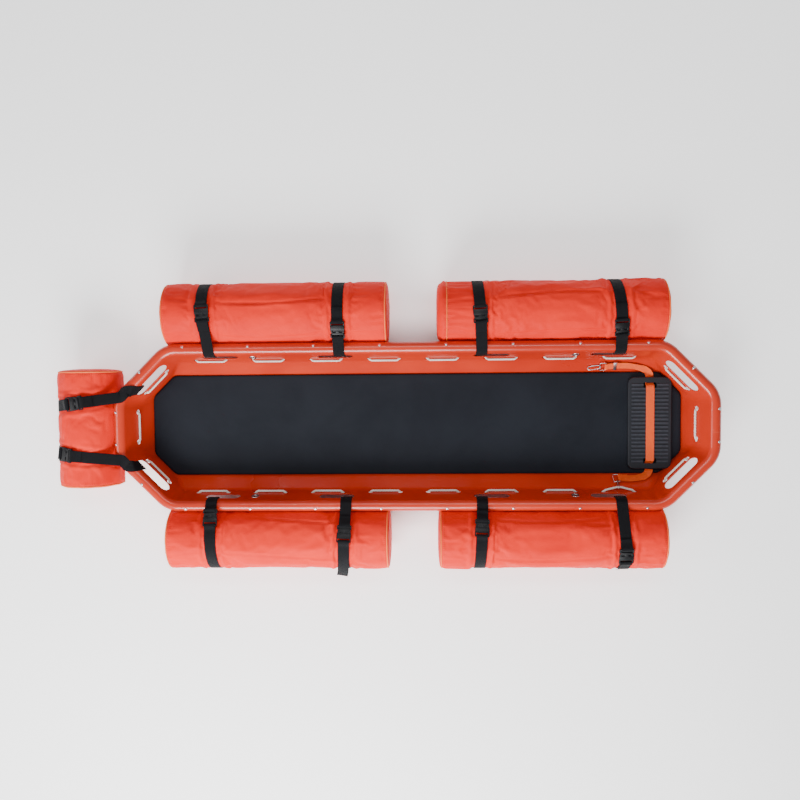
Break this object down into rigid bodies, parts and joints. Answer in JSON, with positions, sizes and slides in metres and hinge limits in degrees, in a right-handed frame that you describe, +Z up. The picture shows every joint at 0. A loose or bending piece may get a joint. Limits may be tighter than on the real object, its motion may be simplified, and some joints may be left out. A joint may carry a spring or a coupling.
{
  "type": "floating rescue stretcher",
  "caption": "Moulded basket stretcher with strapped-on flotation rolls, mat, life line, hand holes, lifting eyes and a folding foot rest.",
  "frame": {"origin": "middle of the whole object's footprint, at the height of the surface it stands on", "axes": "+X to the foot end, +Y to the casualty's left as seen in the picture's top, +Z up"},
  "size_m": [2.3772, 1.0396, 0.2409],
  "materials": {
    "shell": "gloss",
    "flotation_cover": "coated, matte",
    "foam": "closed-cell foam",
    "mat": "soft matte foam",
    "webbing": "woven",
    "buckle": "satin",
    "foot_plate": "satin",
    "orange_webbing": "woven",
    "bright_metal": "polished",
    "frame_metal": "satin",
    "rope": "twisted",
    "runner": "satin"
  },
  "bodies": {
    "tub": {"shell": "shell", "frame_tube": "frame_metal", "lifting_eye_left_head": "bright_metal", "lifting_eye_left_foot": "bright_metal", "lifting_eye_right_head": "bright_metal", "lifting_eye_right_foot": "bright_metal", "runner_left": "runner", "runner_right": "runner", "life_line": "rope", "mattress": "mat", "float_cover_left_head": "flotation_cover", "float_end_left_head": "flotation_cover", "foam_core_left_head": "foam", "float_cover_right_head": "flotation_cover", "float_end_right_head": "flotation_cover", "foam_core_right_head": "foam", "float_cover_left_foot": "flotation_cover", "float_end_left_foot": "flotation_cover", "foam_core_left_foot": "foam", "float_cover_right_foot": "flotation_cover", "float_end_right_foot": "flotation_cover", "foam_core_right_foot": "foam", "float_cover_head": "flotation_cover", "float_end_head": "flotation_cover", "foam_core_head": "foam", "strap_left_head_1": "webbing", "buckle_left_head_1": "buckle", "strap_left_head_2": "webbing", "buckle_left_head_2": "buckle", "strap_left_foot_1": "webbing", "buckle_left_foot_1": "buckle", "strap_left_foot_2": "webbing", "buckle_left_foot_2": "buckle", "strap_right_head_1": "webbing", "buckle_right_head_1": "buckle", "strap_right_head_2": "webbing", "buckle_right_head_2": "buckle", "strap_right_foot_1": "webbing", "buckle_right_foot_1": "buckle", "strap_right_foot_2": "webbing", "buckle_right_foot_2": "buckle", "strap_head_left": "webbing", "buckle_head_left": "buckle", "strap_head_right": "webbing", "buckle_head_right": "buckle", "foot_strap_tail_left": "orange_webbing", "foot_strap_tail_right": "orange_webbing", "ring_left": "bright_metal", "ring_right": "bright_metal", "hook_left": "bright_metal", "hook_right": "bright_metal", "strap_slider_left": "bright_metal"},
    "foot_rest": {"foot_plate": "foot_plate", "foot_strap_face": "orange_webbing"},
    "gate_left": {"hook_gate_left": "bright_metal"},
    "gate_right": {"hook_gate_right": "bright_metal"}
  },
  "joints": [
    {"name": "foot_rest_tilt", "type": "hinge", "parent": "tub", "child": "foot_rest", "pos_m": [0.8901, 0, 0.0466], "axis": [0, -1, 0], "range_deg": [0, 90], "deforming": ["foot_strap_tail_left", "foot_strap_tail_right"]},
    {"name": "hook_gate_left_swing", "type": "hinge", "parent": "tub", "child": "gate_left", "pos_m": [0.77374, 0.19843, 0.06961], "axis": [0.1293, -0.038, -0.9909], "range_deg": [0, 25], "stiffness_Nm_per_rad": 0.05, "springref_deg": -11.46},
    {"name": "hook_gate_right_swing", "type": "hinge", "parent": "tub", "child": "gate_right", "pos_m": [0.84831, -0.2229, 0.086], "axis": [-1, 0, 0], "range_deg": [0, 25], "stiffness_Nm_per_rad": 0.05, "springref_deg": -11.46}
  ]
}
